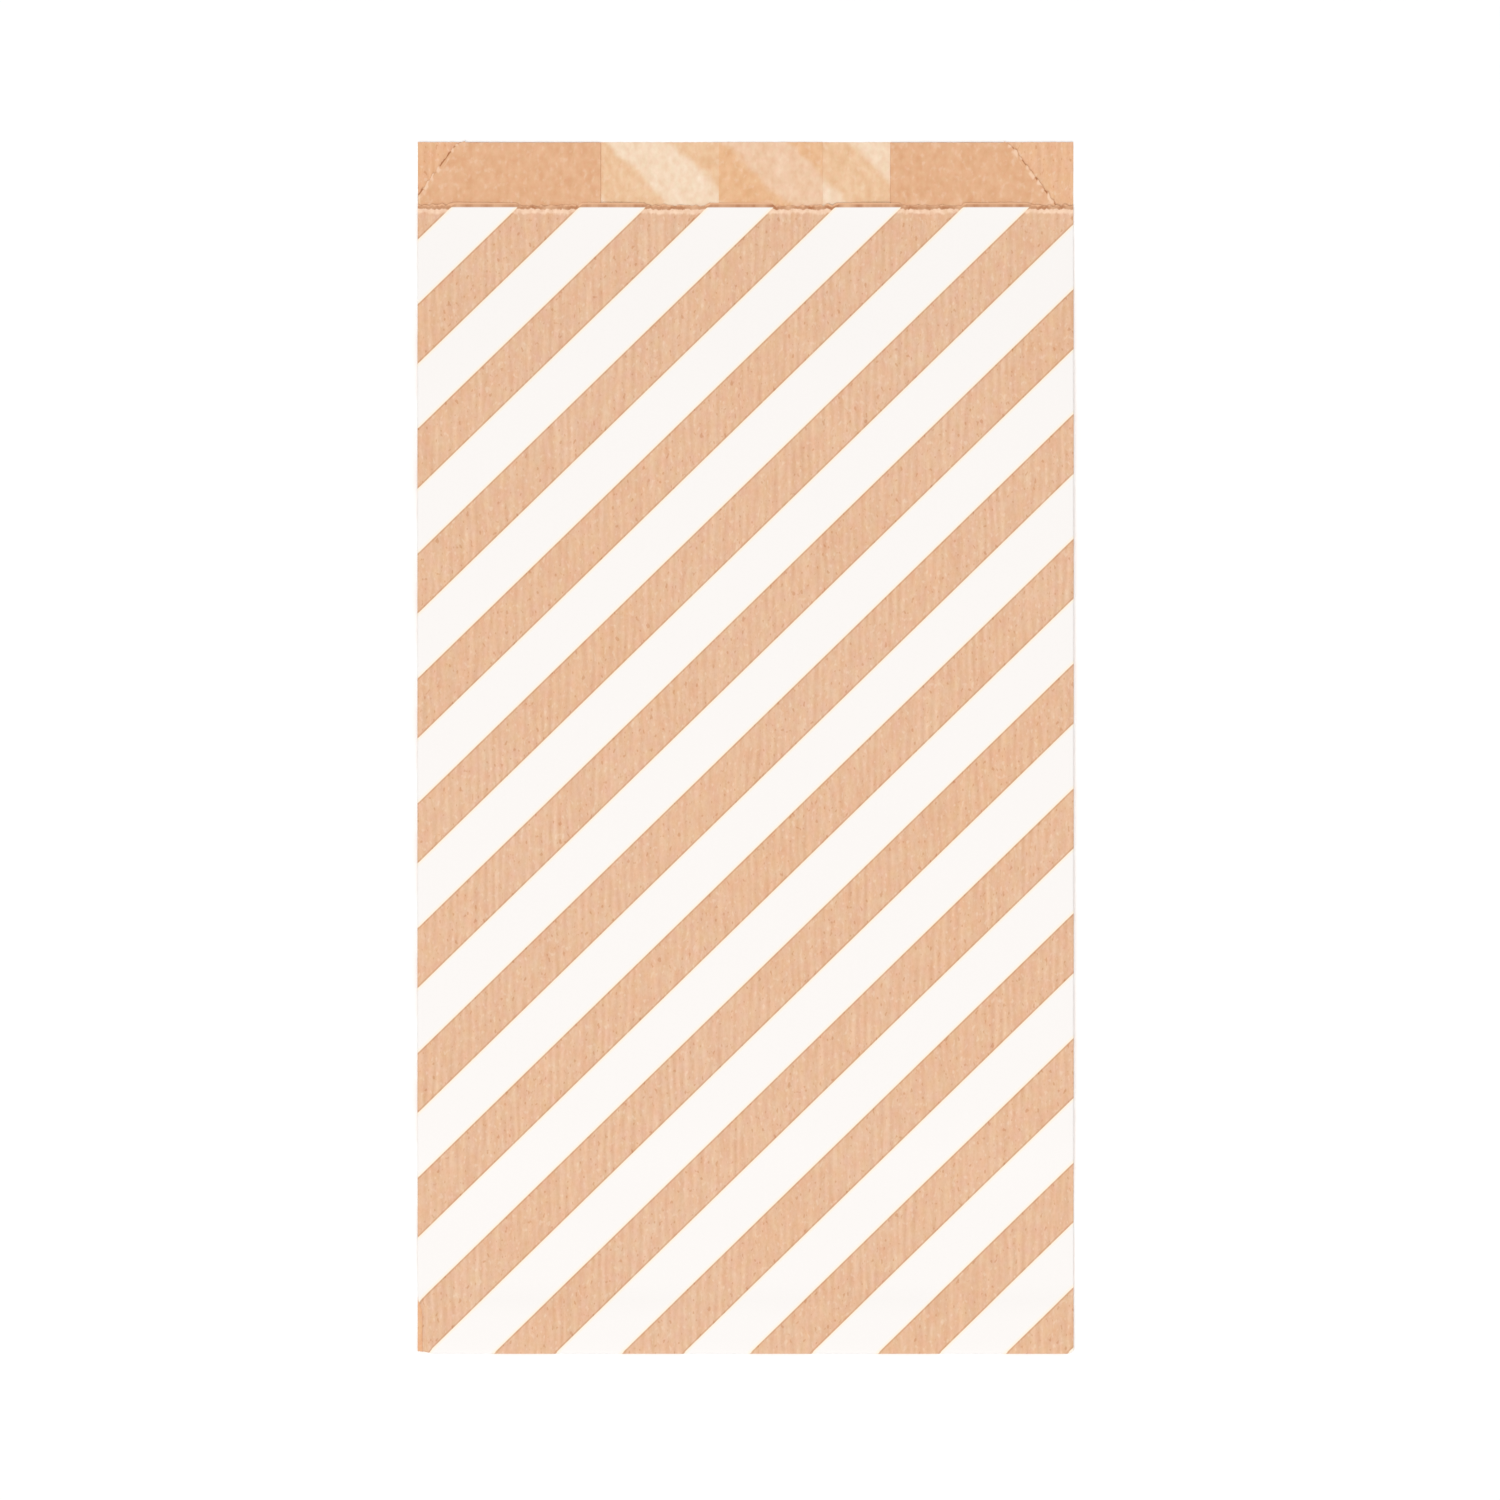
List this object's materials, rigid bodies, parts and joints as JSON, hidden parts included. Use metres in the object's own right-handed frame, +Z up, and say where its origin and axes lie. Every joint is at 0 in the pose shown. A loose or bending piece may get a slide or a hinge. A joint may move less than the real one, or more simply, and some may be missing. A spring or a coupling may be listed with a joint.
{
  "type": "flat paper bag",
  "caption": "Flat, empty paper bag with side gussets, a folded-over bottom and a serrated mouth whose back edge stands above the front, printed with broad diagonal stripes.",
  "frame": {"origin": "middle of the bag's footprint, at the height of the surface that it lies on", "axes": "+X across the bag, +Y towards its mouth, +Z up out of its front panel"},
  "size_m": [0.12, 0.222, 0.0016],
  "materials": {
    "ribbed_kraft": "machine-ribbed kraft paper, matt, flexo-printed with white diagonal stripes"
  },
  "bodies": {
    "root": {"paper_bag": "ribbed_kraft"}
  },
  "joints": []
}
